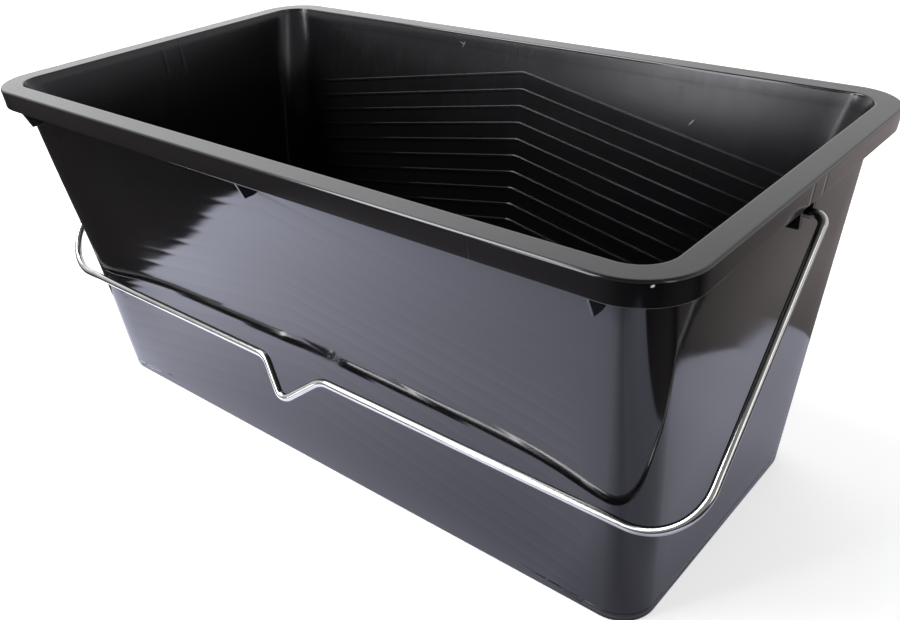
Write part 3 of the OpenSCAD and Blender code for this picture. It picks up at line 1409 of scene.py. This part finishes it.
class Lug:
    """A lug under the rim: two cheeks and the drilled web that holds the bail's end."""

    HOLE_STEPS = 48

    def __init__(self, sizes: TubSizes, lug: LugSizes, bail: BailSizes, axis_z: float) -> None:
        """Works out the places of the lug.

        Args:
            sizes: the tub's sizes.
            lug: the lug's sizes.
            bail: the bail's sizes, for its wire.
            axis_z: height of the bail's axis.
        """
        self.sizes = sizes
        self.lug = lug
        self.hole = bail.wire / 2 + lug.clearance
        self.axis_z = axis_z
        self.outer_x = sizes.half_x(axis_z) + lug.stand_out
        self.web_x = sizes.half_x(axis_z) + lug.web_gap + lug.web

    def build(self, name: str, side: int) -> bpy.types.Object:
        """Makes one lug.

        Args:
            name: the piece's name.
            side: 1 for the +X end of the tub, -1 for the other.

        Returns:
            The lug as one object.
        """
        s, lug = self.sizes, self.lug
        plates = Plates(lug.edge_round)
        low = self.axis_z - lug.below_axis
        high = s.height - s.rim_thickness * BURIED
        inner, inner_high = (s.half_x(z) - s.wall * BURIED for z in (low, high))
        self.drilled_web(plates.form, side, low, high)
        for way in (-1, 1):
            y = way * (lug.width - lug.cheek) / 2
            corners = ((inner, low), (self.outer_x, low), (self.outer_x, high), (inner_high, high))
            outline = [Vector((side * x, y, z)) for x, z in corners]
            plates.slab(outline, Vector((0, lug.cheek, 0)))
        return plates.build(name)

    def drilled_web(self, form: bmesh.types.BMesh, side: int, low: float, high: float) -> None:
        """Adds the web with its round hole to a mesh.

        Args:
            form: the mesh.
            side: 1 for the +X end of the tub, -1 for the other.
            low: height of the web's lower edge.
            high: height of its upper edge.
        """
        lug = self.lug
        half = lug.width / 2 - lug.cheek / 2
        rings = []
        for x in (self.web_x, self.web_x - lug.web):
            hole, edge = [], []
            for k in range(self.HOLE_STEPS):
                a = 2 * math.pi * (k + 0.5) / self.HOLE_STEPS
                c, d = math.cos(a), math.sin(a)
                reach_z = (high - self.axis_z if d > 0 else self.axis_z - low) / abs(d)
                far = min(half / abs(c), reach_z)
                hole.append(form.verts.new((side * x, self.hole * c, self.axis_z + self.hole * d)))
                edge.append(form.verts.new((side * x, far * c, self.axis_z + far * d)))
            rings += [hole, edge]
        near_hole, near_edge, far_hole, far_edge = rings
        faces = []
        for k in range(self.HOLE_STEPS):
            m = (k + 1) % self.HOLE_STEPS
            for corners in ((near_hole[k], near_edge[k], near_edge[m], near_hole[m]),
                            (far_hole[k], far_hole[m], far_edge[m], far_edge[k]),
                            (near_hole[k], near_hole[m], far_hole[m], far_hole[k]),
                            (near_edge[k], far_edge[k], far_edge[m], near_edge[m])):
                faces.append(form.faces.new(corners))
        bmesh.ops.recalc_face_normals(form, faces=faces)


# ---------------------------------------------------------------- the bail


class WirePath:
    """A centre line of straight runs joined by round bends."""

    BEND_STEP = math.radians(4)
    LEAST_STEPS = 4

    def __init__(self, corners: Sequence[Vector], radii: Sequence[float]) -> None:
        """Keeps the line's ends and corners, and the radius at each corner."""
        self.corners = list(corners)
        self.radii = list(radii)

    def points(self) -> list[Vector]:
        """Works out the line.

        Returns:
            Its points: two for each straight run and a fan of them for each bend.
        """
        found = [self.corners[0]]
        for i, radius in enumerate(self.radii):
            before, corner, after = self.corners[i:i + 3]
            arrive = (corner - before).normalized()
            leave = (after - corner).normalized()
            turn = arrive.angle(leave)
            axis = arrive.cross(leave).normalized()
            start = corner - arrive * (radius * math.tan(turn / 2))
            centre = start + axis.cross(arrive) * radius
            steps = max(self.LEAST_STEPS, math.ceil(turn / self.BEND_STEP))
            spoke = start - centre
            found += [centre + Matrix.Rotation(turn * k / steps, 3, axis) @ spoke
                      for k in range(steps + 1)]
        found.append(self.corners[-1])
        return found


@dataclass(frozen=True)
class WireSection:
    """A round section of the wire.

    Args:
        place: its middle.
        ahead: direction of the wire there.
        up: direction of its first point, square to the wire.
        radius: its radius.
        travelled: its distance along the wire.
    """

    place: Vector
    ahead: Vector
    up: Vector
    radius: float
    travelled: float


class Bail:
    """The bent wire bail, resting at the front wall."""

    AROUND = 32
    STRAIGHT_STEP = 12 * MM

    def __init__(self, tub: TubSizes, lug: Lug, sizes: BailSizes) -> None:
        """Keeps the sizes.

        Args:
            tub: the tub's sizes.
            lug: a lug, for the places of its axis and web.
            sizes: the bail's sizes.
        """
        self.tub = tub
        self.lug = lug
        self.sizes = sizes

    def rest_angle(self) -> float:
        """Works out where the bail rests.

        Returns:
            Its angle from straight down when its bar lies at the unbowed front wall.
        """
        tub, s = self.tub, self.sizes
        lean = tub.long_wall_lean
        off = tub.base_width / 2 * math.cos(lean) + self.lug.axis_z * math.sin(lean)
        return math.pi / 2 - lean - math.acos((off + s.wire / 2 + s.rest_gap) / s.reach)

    def path(self) -> WirePath:
        """Lays out the wire at rest.

        Returns:
            Its centre line, in the frame's coordinates.
        """
        s, lug = self.sizes, self.lug
        arm_x = self.tub.length / 2 + s.arm_gap + s.wire / 2
        pin_x = lug.web_x - lug.lug.web - s.pin_past
        tip_depth = s.vee_depth + s.tip_bend * (1 / math.cos(s.vee_slope) - 1)
        shoulder_x = tip_depth / math.tan(s.vee_slope)
        lean = Matrix.Rotation(s.vee_lean, 3, "X")
        tip = Vector((0, 0, -s.reach)) + lean @ Vector((0, 0, -tip_depth))
        tip.x = s.vee_x
        half = [Vector((pin_x, 0, 0)), Vector((arm_x, 0, 0)), Vector((arm_x, 0, -s.reach))]
        mirrored = [Vector((-p.x, p.y, p.z)) for p in reversed(half)]
        vee = [Vector((s.vee_x + shoulder_x, 0, -s.reach)), tip,
               Vector((s.vee_x - shoulder_x, 0, -s.reach))]
        swing = Matrix.Rotation(-self.rest_angle(), 3, "X")
        axis = Vector((0, 0, lug.axis_z))
        corners = [axis + swing @ p for p in [*half, *vee, *mirrored]]
        bends = [s.pin_bend, s.corner_bend, s.shoulder_bend]
        return WirePath(corners, [*bends, s.tip_bend, *reversed(bends)])

    def centre_line(self) -> list[Vector]:
        """Divides the long straight runs of the path.

        Returns:
            The points of the centre line.
        """
        line = self.path().points()
        found = [line[0]]
        for a, b in zip(line, line[1:]):
            parts = max(1, round((b - a).length / self.STRAIGHT_STEP))
            found += [a.lerp(b, k / parts) for k in range(1, parts + 1)]
        return found

    def sections(self) -> list[WireSection]:
        """Carries a round section along the wire without twist, with a bevel at each end.

        Returns:
            The sections in order.
        """
        radius, bevel = self.sizes.wire / 2, self.sizes.cut_bevel
        line = self.centre_line()
        tangents = [(b - a).normalized() for a, b in zip(line, line[1:])]
        heading = [tangents[0]]
        heading += [(a + b).normalized() for a, b in zip(tangents, tangents[1:])]
        heading.append(tangents[-1])
        up = heading[0].orthogonal().normalized()
        found = []
        travelled = 0.0
        for i, (place, ahead) in enumerate(zip(line, heading)):
            if i:
                up = heading[i - 1].rotation_difference(ahead) @ up
                travelled += (place - line[i - 1]).length
            found.append(WireSection(place, ahead, up.copy(), radius, travelled))
        first, last = found[0], found[-1]
        found[0] = replace(first, place=first.place + first.ahead * bevel)
        found[-1] = replace(last, place=last.place - last.ahead * bevel)
        return [replace(first, radius=radius - bevel), *found, replace(last, radius=radius - bevel)]

    def build(self, name: str) -> bpy.types.Object:
        """Skins the wire's sections and closes its ends.

        Args:
            name: the piece's name.

        Returns:
            The bail as one closed mesh object.
        """
        form = bmesh.new()
        around = form.verts.layers.float.new("around")
        along = form.verts.layers.float.new("along")
        rings = []
        for section in self.sections():
            right = section.ahead.cross(section.up)
            ring = []
            for k in range(self.AROUND):
                a = 2 * math.pi * k / self.AROUND
                spoke = section.up * math.cos(a) + right * math.sin(a)
                vert = form.verts.new(section.place + spoke * section.radius)
                vert[around] = abs(2 * k / self.AROUND - 1)
                vert[along] = section.travelled
                ring.append(vert)
            rings.append(ring)
        skin(form, rings)
        form.faces.new(rings[0])
        form.faces.new(rings[-1])
        bmesh.ops.recalc_face_normals(form, faces=form.faces)
        return new_object(name, form)


# ---------------------------------------------------------------- the studio


@dataclass(frozen=True)
class Sheet:
    """The white sheet that the tub stands on, and the ground round it.

    The sheet and the ground differ only where they are mirrored in the object.  There they
    carry painted light: the sheet a painted pool of light and the tub's painted shadow, the
    ground a painted glow, though neither is a lamp.

    Args:
        left: X of the sheet's left edge, at the front and at the back of its slanting run.
        left_run: Y of the ends of that run.
        left_steps: further shifts of that edge, each its two Y and how far it goes.
        left_edge: half-width of the left edge's blur.
        right: X of the right edge at the back.
        right_bend: Y from which that edge goes out towards the front, and by how much.
        right_run: Y from which it goes out more slowly, and by how much.
        right_end: Y at which it is straight again.
        front: Y of the front edge.
        back: Y of the back edge.
        edge: half-width of the blur of the other edges.
        front_edge: half-width of the front edge's blur.
        floor_size: length of a side of the floor.
        drop: how far the floor lies below the tub's underside.
        pale: colour of the floor for light.
        mirrored: colour of the sheet where it is mirrored, above 1, which paints extra light onto
            it.
        sheet_glow_share: the share of that colour which the sheet gives off as painted light,
            though it is no lamp.
        ground_tint_glow: colour of the ground's painted glow, where it is mirrored.
        seen_lift: light added to the floor where the camera sees it.
    """

    left: tuple[float, float] = (-0.254, -0.236)
    left_run: tuple[float, float] = (-0.218, -0.165)
    left_steps: tuple[tuple[float, float, float], ...] = (
        (-0.158, -0.138, -0.009), (-0.138, -0.132, -0.032))
    left_edge: float = 0.004
    right: float = 0.239
    right_bend: tuple[float, float] = (0.150, 0.036)
    right_run: tuple[float, float] = (0.110, 0.060)
    right_end: float = -0.20
    front: float = -0.282
    back: float = 0.195
    edge: float = 0.0015
    front_edge: float = 0.032
    floor_size: float = 6.0
    drop: float = 0.0002
    pale: Colour = (0.82, 0.82, 0.83, 1)
    # painted light: the mirrored sheet is brighter than white, and part of it glows
    mirrored: Colour = (1.32, 1.34, 1.59, 1)
    sheet_glow_share: float = 0.5
    # colour of the ground's painted glow, seen only in reflections
    ground_tint_glow: Colour = (1.12, 1.0, 0.98, 1)
    seen_lift: float = 0.55


@dataclass(frozen=True)
class PaintedSheetLight:
    """The painted light and shadow on the sheet, where it is mirrored.

    Args:
        along: its brightness from left to right.
        front: where the painted pool of light at the front starts, over Y.
        front_gain: how much brighter that part is, over X.
        right: where the tub's painted shadow on the right-hand part starts, over X.
        right_near: the first factor of that part, over X.
        right_far: its second factor, over X.
        right_back: its brightness towards the back, over Y.
        right_front: what is added to that towards the front, over Y.
    """

    # painted light: brighter at the front left, with the tub's painted shadow at the right
    along: Ramp = Ramp(-0.20, 0.22, 1.32, 0.66)
    front: Ramp = Ramp(-0.14, -0.22, smooth=True)
    front_gain: Ramp = Ramp(-0.15, 0.20, 0.24, 0.08)
    right: Ramp = Ramp(0.14, 0.19)
    right_near: Ramp = Ramp(0.185, 0.212, 0.68, 1)
    right_far: Ramp = Ramp(0.23, 0.29, 1, 1.25)
    right_back: Ramp = Ramp(-0.05, 0.09, 0.62, 0.93)
    right_front: Ramp = Ramp(-0.08, -0.20, 0.04, 0.18)


@dataclass(frozen=True)
class PaintedGroundGlow:
    """The painted glow of the ground round the sheet, where it is mirrored; it is no lamp.

    Args:
        back: the parts of its brightness behind the sheet, over Y.
        aside: the gain or loss to the right of the sheet, over X.
        aside_end: where that gain or loss ends, over Y.
        beside: a glow beside the sheet, over Y.
        beside_end: where it ends, over Y.
        right: the share of all this from left to right, over X.
        far_right: how it falls off farther right, over X.
        front: brightness in front of the sheet, over X.
        front_start: where that starts, over Y.
        front_left: how it falls off at the left, over X.
        left: the least brightness at the left, over X.
    """

    # painted glow of the ground, seen only in reflections
    back: tuple[Ramp, Ramp, Ramp] = (
        Ramp(0.10, 0.15, 0.03, 0.15), Ramp(0.15, 0.30, 0, 0.19), Ramp(0.30, 0.85, 0, 0.35))
    aside: Ramp = Ramp(0.255, 0.305, 0.15, -0.38)
    aside_end: Ramp = Ramp(0.33, 0.45, 1, 0)
    beside: Ramp = Ramp(-0.22, -0.10, 0, 0.08)
    beside_end: Ramp = Ramp(0.00, 0.10, 1, 0)
    right: Ramp = Ramp(-0.1, 0.15, 0.3, 1)
    far_right: Ramp = Ramp(0.4, 0.8, 1, 0.6)
    front: Ramp = Ramp(0.24, -0.06, 0, 0.24)
    front_start: Ramp = Ramp(-0.24, -0.34)
    front_left: Ramp = Ramp(-0.26, -0.10, 0.6, 1)
    left: Ramp = Ramp(-0.235, -0.265, 0, 0.045)


@dataclass(frozen=True)
class Surroundings:
    """A soft sky over dim walls, over the parts of a direction.

    Args:
        back: X and Y of the direction in which the walls are brightest.
        walls: the walls' brightness towards that direction.
        sky_x: the sky's brightness, over X.
        sky_y: a factor to that, over Y.
        crown: how the sky darkens overhead, over Z.
        rise: where the walls end and the sky starts, over Z.
    """

    back: tuple[float, float] = (0.5, 0.86)
    walls: Ramp = Ramp(-0.2, 0.8, 0.10, 2.0, smooth=True)
    sky_x: Ramp = Ramp(-0.95, -0.1, 2.3, 1.12, smooth=True)
    sky_y: Ramp = Ramp(-0.5, 0.3, 0.4, 1, smooth=True)
    crown: Ramp = Ramp(0.62, 0.88, 1.0, 0.3, smooth=True)
    rise: Ramp = Ramp(math.sin(math.radians(1)), math.sin(math.radians(9)), smooth=True)


@dataclass(frozen=True)
class Softbox:
    """A soft lamp.

    Args:
        azimuth: the direction that it stands in, in degrees from the front to the right.
        distance: how far it stands from the tub.
        height: height of its middle.
        size: its width and height.
        radiance: its strength.
        aim_z: height of the point over the origin that it faces.
        roll: its turn about its own axis, in degrees.
    """

    name: str
    azimuth: float
    distance: float
    height: float
    size: tuple[float, float]
    radiance: float
    aim_z: float
    roll: float = 0.0


class Floor:
    """The floor: pale to the eye, and for reflections a white sheet with painted light and shadow,
    and a dim ground with a painted glow round it.
    """

    def __init__(self, sheet: Sheet, shine: PaintedSheetLight, ground: PaintedGroundGlow) -> None:
        """Starts the floor's material, whose parts the other methods write.

        Args:
            sheet: the sheet's edges and colours.
            shine: the painted light and shadow on the sheet, where it is mirrored.
            ground: the painted glow of the ground, where it is mirrored.
        """
        self.sheet = sheet
        self.shine = shine
        self.ground = ground
        self.material, self.n = new_material("floor")
        place = self.n.add("ShaderNodeNewGeometry").outputs["Position"]
        self.x, self.y, _ = self.n.split(place)

    def on_sheet(self) -> Socket:
        """Draws the sheet; its right-hand edge bends in towards the back.

        Returns:
            1 on the sheet and 0 off it.
        """
        n, x, y, sheet = self.n, self.x, self.y, self.sheet
        (bend_y, bend_x), (run_y, run_x) = sheet.right_bend, sheet.right_run
        bend = n.plus(n.ramp(y, Ramp(bend_y, run_y, sheet.right, sheet.right + bend_x)),
                      n.ramp(y, Ramp(run_y, sheet.right_end, 0, run_x)))
        right = n.minus(bend, x)
        left = n.minus(x, n.ramp(y, Ramp(*sheet.left_run, *sheet.left)))
        for start, end, step in sheet.left_steps:
            left = n.minus(left, n.ramp(y, Ramp(start, end, 0, step)))
        sides = n.times(n.ramp(right, Ramp(-sheet.edge, sheet.edge)),
                        n.ramp(left, Ramp(-sheet.left_edge, sheet.left_edge)))
        back = Ramp(sheet.back - sheet.edge, sheet.back + sheet.edge, 1, 0)
        front = Ramp(sheet.front - sheet.front_edge, sheet.front + sheet.front_edge)
        return n.times(sides, n.times(n.ramp(y, back), n.ramp(y, front)))

    def painted_sheet_shine(self) -> Socket:
        """The painted light on the sheet where it is mirrored: a painted pool of light at the front
        left and the tub's painted shadow at the right.

        Returns:
            The brightness.
        """
        n, x, y, shine = self.n, self.x, self.y, self.shine
        near = n.math("MULTIPLY_ADD", n.ramp(y, shine.front), n.ramp(x, shine.front_gain), 1.0)
        beside = n.times(n.ramp(x, shine.right_near), n.ramp(x, shine.right_far))
        far = n.plus(n.ramp(y, shine.right_back), n.ramp(y, shine.right_front))
        change = n.minus(n.times(far, beside), 1.0)
        dull = n.math("MULTIPLY_ADD", n.ramp(x, shine.right), change, 1.0)
        return n.times(n.ramp(x, shine.along), near, dull)

    def painted_ground_light(self) -> Socket:
        """The ground's painted glow where it is mirrored: dark beside the sheet, brighter to the
        back right.

        Returns:
            The brightness.
        """
        n, x, y, ground = self.n, self.x, self.y, self.ground
        back = n.plus(*(n.ramp(y, part) for part in ground.back))
        change = n.math("MULTIPLY_ADD", n.ramp(x, ground.aside), n.ramp(y, ground.aside_end), 1.0)
        beside = n.times(n.ramp(y, ground.beside), n.ramp(y, ground.beside_end))
        right = n.times(n.plus(n.times(back, change), beside), n.ramp(x, ground.right))
        front = n.times(n.ramp(x, ground.front), n.ramp(y, ground.front_start))
        front = n.times(front, n.ramp(x, ground.front_left))
        front = n.math("MAXIMUM", front, n.ramp(x, ground.left))
        return n.plus(n.times(right, n.ramp(x, ground.far_right)), front)

    def finish(self) -> None:
        """Joins the floor's diffuse colour with what it shows to the camera, and with the painted
        light and glow that only reflections see.
        """
        n, sheet = self.n, self.sheet
        on_sheet = self.on_sheet()
        path = n.add("ShaderNodeLightPath")
        glossy = path.outputs["Is Glossy Ray"]
        # painted light and shadow on the sheet: a colour above 1 and an emission, for reflections
        # only
        shine = n.times(on_sheet, self.painted_sheet_shine())
        painted_sheet_colour = n.add("ShaderNodeVectorMath", operation="SCALE")
        n.feed(painted_sheet_colour, Vector=sheet.mirrored[:3], Scale=n.times(shine, 1 - sheet.sheet_glow_share))
        colour = n.mix_colour(glossy, sheet.pale, painted_sheet_colour.outputs[0])
        # painted glow of the ground, for reflections only
        ground = n.times(n.minus(1.0, on_sheet), self.painted_ground_light())
        glow = n.times(glossy, n.times(shine, sheet.sheet_glow_share))
        both = n.feed(n.add("ShaderNodeBsdfDiffuse"), Color=colour)
        for emitted in ({"Strength": n.times(n.seen(path), sheet.seen_lift)},
                        {"Color": sheet.ground_tint_glow, "Strength": n.times(glossy, ground)},
                        {"Color": sheet.mirrored, "Strength": glow}):
            part = n.feed(n.add("ShaderNodeEmission"), **emitted)
            total = n.add("ShaderNodeAddShader")
            n.put(both.outputs[0], total.inputs[0])
            n.put(part.outputs[0], total.inputs[1])
            both = total
        n.feed(n.add("ShaderNodeOutputMaterial"), Surface=both.outputs[0])

    def build(self) -> None:
        """Makes the floor and keeps it out of the object."""
        form = bmesh.new()
        bmesh.ops.create_grid(form, x_segments=1, y_segments=1, size=self.sheet.floor_size / 2)
        bmesh.ops.translate(form, verts=form.verts, vec=(0, 0, -self.sheet.drop))
        item = new_object("floor", form)
        self.finish()
        item.data.materials.append(self.material)


class Studio:
    """A white sheet on a floor, a soft bright sky over dim walls, and soft lamps."""

    BOXES = (
        Softbox("key", azimuth=-55, distance=1.35, height=1.67, size=(2.0, 0.66), radiance=11.0,
                aim_z=0.19, roll=-40),
        Softbox("strip_left", azimuth=-22, distance=1.9, height=0.97, size=(0.30, 1.9),
                radiance=7.4, aim_z=0.97),
        Softbox("strip_right", azimuth=74, distance=1.9, height=0.8, size=(0.42, 1.5),
                radiance=2.0, aim_z=0.8),
    )

    def __init__(self, floor: Floor, around: Surroundings) -> None:
        """Keeps the floor and the settings of the world."""
        self.floor = floor
        self.around = around

    def world(self) -> None:
        """Makes a world that is white to the eye, and a studio for light and reflections."""
        around = self.around
        world = bpy.data.worlds.new("studio")
        bpy.context.scene.world = world
        world.use_nodes = True
        n = Nodes(world.node_tree)
        x, y, z = n.split(n.add("ShaderNodeTexCoord").outputs["Generated"])
        back = n.plus(n.times(x, around.back[0]), n.times(y, around.back[1]))
        sky = n.times(n.ramp(x, around.sky_x), n.ramp(y, around.sky_y), n.ramp(z, around.crown))
        rise = n.ramp(z, around.rise)
        walls = n.times(n.ramp(back, around.walls), n.minus(1.0, rise))
        bright = n.plus(n.times(sky, rise), walls)
        eye = n.seen(n.add("ShaderNodeLightPath"))
        strength = n.plus(eye, n.times(bright, n.minus(1.0, eye)))
        glow = n.feed(n.add("ShaderNodeBackground"), Strength=strength)
        n.feed(n.add("ShaderNodeOutputWorld"), Surface=glow.outputs[0])

    def lamp(self, box: Softbox) -> None:
        """Adds one softbox, aimed at a point over the origin.

        Args:
            box: the softbox.
        """
        data = bpy.data.lights.new(box.name, "AREA")
        data.shape = "RECTANGLE"
        data.size, data.size_y = box.size
        data.energy = box.radiance * math.pi * box.size[0] * box.size[1]
        item = bpy.data.objects.new(box.name, data)
        bpy.context.scene.collection.objects.link(item)
        azimuth = math.radians(box.azimuth)
        place = Vector((math.sin(azimuth) * box.distance, -math.cos(azimuth) * box.distance,
                        box.height))
        item.matrix_world = aimed(place, Vector((0, 0, box.aim_z)), math.radians(box.roll))
        log.info("softbox %s: %.1f W", box.name, data.energy)

    def build(self) -> None:
        """Makes the floor, the world and the lamps, and sets plain colour handling."""
        bpy.context.scene.view_settings.view_transform = "Standard"
        self.floor.build()
        self.world()
        for box in self.BOXES:
            self.lamp(box)


def aimed(place: Vector, target: Vector, roll: float) -> Matrix:
    """Places a lamp or a camera.

    Args:
        place: where it stands.
        target: the point that it faces.
        roll: its turn about its own axis, in radians.

    Returns:
        Its matrix in the world.
    """
    facing = (target - place).to_track_quat("-Z", "Y").to_matrix().to_4x4()
    return Matrix.Translation(place) @ facing @ Matrix.Rotation(roll, 4, "Z")


@dataclass(frozen=True)
class Viewpoint:
    """Where the camera stands, what it looks at and how it is held.

    Args:
        place: where it stands.
        target: the point that it faces.
        roll: its turn about its own axis.
        focal_pixels: its focal length in pixels of the render.
        centre: the pixel on its axis.
        sensor: its sensor's width in millimetres, which sets the unit of its lens only.
        clip_start: the nearest distance that it sees.
    """

    place: tuple[float, float, float] = (0.3212, -0.3534, 0.3319)
    target: tuple[float, float, float] = (0.0020, 0.0002, 0.0600)
    roll: float = math.radians(-3.21)
    focal_pixels: float = 959.0
    centre: tuple[float, float] = (422.2, 313.2)
    sensor: float = 36.0
    clip_start: float = 0.01

    def build(self) -> None:
        """Makes the camera and sets it as the scene's."""
        data = bpy.data.cameras.new("camera")
        data.sensor_width = self.sensor
        data.lens = self.sensor * self.focal_pixels / IMAGE_WIDTH
        data.shift_x = (IMAGE_WIDTH / 2 - self.centre[0]) / IMAGE_WIDTH
        data.shift_y = (self.centre[1] - IMAGE_HEIGHT / 2) / IMAGE_WIDTH
        data.clip_start = self.clip_start
        item = bpy.data.objects.new("camera", data)
        bpy.context.scene.collection.objects.link(item)
        item.matrix_world = aimed(Vector(self.place), Vector(self.target), self.roll)
        bpy.context.scene.camera = item


# ---------------------------------------------------------------- the whole


class Scuttle:
    """The whole object: the tub's pieces and the bail."""

    # A copy of the plastic for the lugs: its low IOR darkens their reflections as painted shade for
    # their pocket under the rim, and it is rougher.
    LUG_SHADED_FINISH = PlasticFinish(ior=1.34, gloss_roughness=0.24)

    def __init__(self) -> None:
        """Reads the tub's overall sizes and the bail's axis from the frame."""
        low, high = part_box("tub")
        self.tub = TubSizes(length=high.x - low.x, width=high.y - low.y, height=high.z - low.z)
        axis = frame["joints"][0]["pos_m"]
        self.bail_sizes = BailSizes()
        self.shell = TubShell(self.tub, RibSizes())
        self.lug = Lug(self.tub, LugSizes(), self.bail_sizes, axis_z=axis[2])

    def build(self) -> None:
        """Builds every piece with its finish."""
        mould = MouldMarks()
        plastic = BlackPolypropylene(Slot.PLASTIC.value, PlasticFinish(), mould).build()
        # painted shade: the lugs get the darker copy of the plastic
        matt_shaded = BlackPolypropylene(Slot.PLASTIC.value + "_matt_shaded", self.LUG_SHADED_FINISH, mould).build()
        wire = BrightWire(WireFinish()).build(Slot.WIRE.value)
        gussets = Gussets(self.tub, GussetSizes(), self.shell)
        finish_piece(self.shell.build("tub_shell"), Body.TUB, Slot.PLASTIC, plastic)
        finish_piece(gussets.build("tub_gussets"), Body.TUB, Slot.PLASTIC, plastic)
        for name, side in (("tub_lug_right", 1), ("tub_lug_left", -1)):
            finish_piece(self.lug.build(name, side), Body.TUB, Slot.PLASTIC, matt_shaded)
        bail = Bail(self.tub, self.lug, self.bail_sizes).build("bail_wire")
        finish_piece(bail, Body.BAIL, Slot.WIRE, wire)


def main() -> None:
    """Builds the object, the studio and the camera."""
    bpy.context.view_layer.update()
    Scuttle().build()
    Studio(Floor(Sheet(), PaintedSheetLight(), PaintedGroundGlow()), Surroundings()).build()
    Viewpoint().build()


if __name__ == "__main__":
    main()
